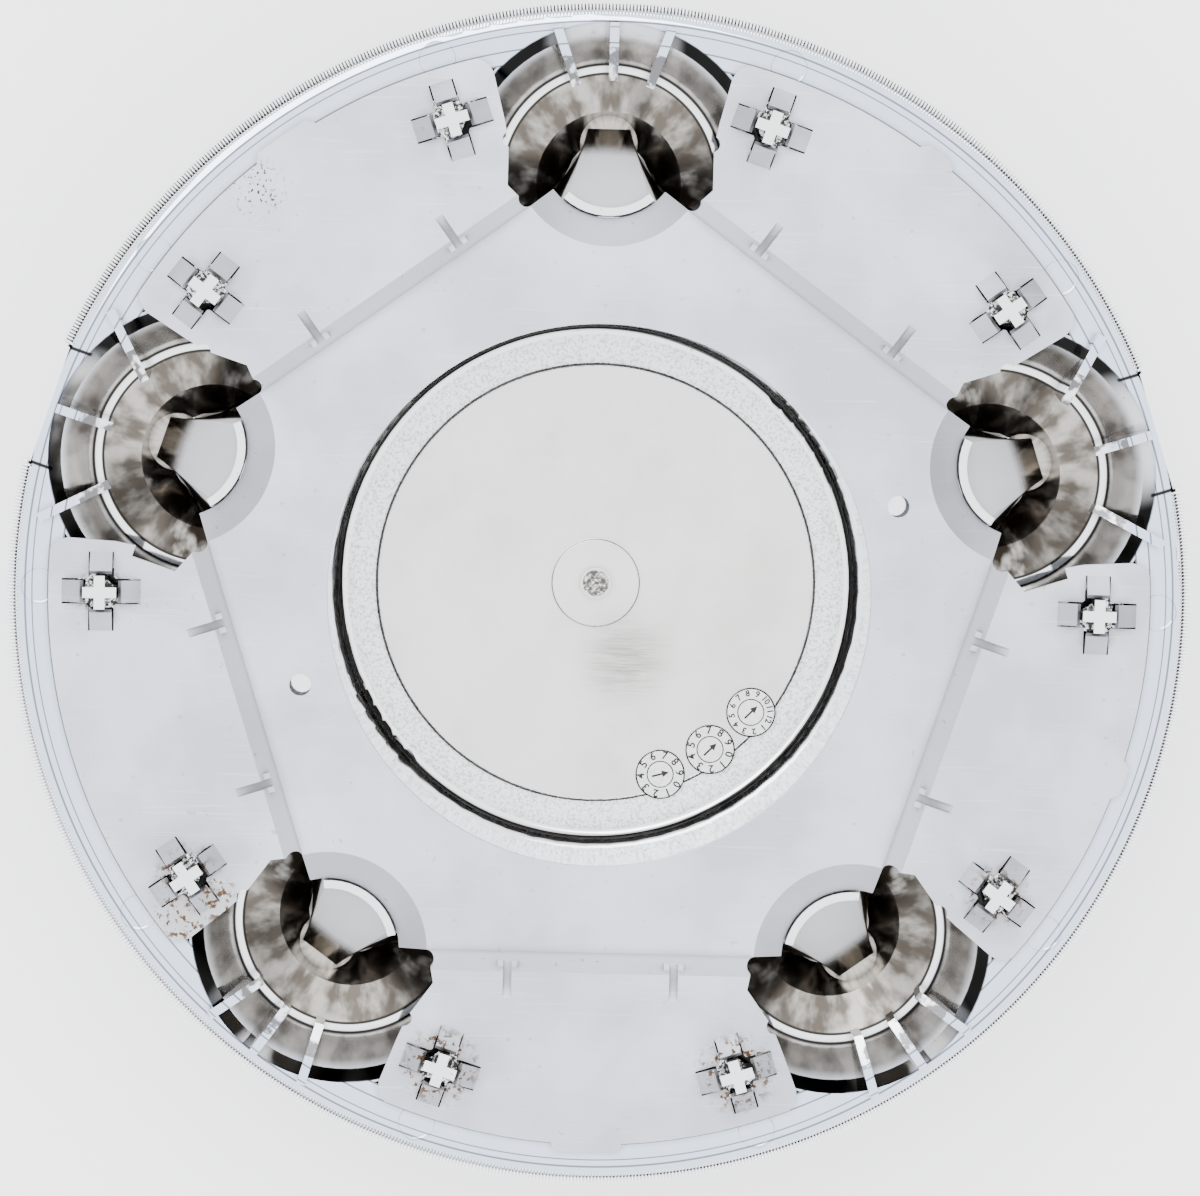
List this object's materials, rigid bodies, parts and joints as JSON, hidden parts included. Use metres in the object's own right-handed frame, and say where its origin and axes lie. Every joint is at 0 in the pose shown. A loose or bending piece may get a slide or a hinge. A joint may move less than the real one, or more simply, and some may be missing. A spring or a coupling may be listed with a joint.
{
  "type": "wheel centre cap",
  "caption": "Round chrome wheel centre cap seen from the back, with a deep hub dish, hollow nut forms and a pressed steel retainer plate.",
  "frame": {"origin": "on the wheel axis at the front face of the hub dome, which lies on the ground", "axes": "+Z along the wheel axis towards the open back of the cap, +Y through one plain lug pocket"},
  "size_m": [0.1778, 0.1778, 0.0465],
  "materials": {
    "chrome_plastic": "bright chrome plating on moulded plastic",
    "plated_steel": "satin pale plated sheet steel, lightly scratched"
  },
  "bodies": {
    "root": {"cap_moulding": "chrome_plastic", "retainer_plate": "plated_steel"}
  },
  "joints": []
}
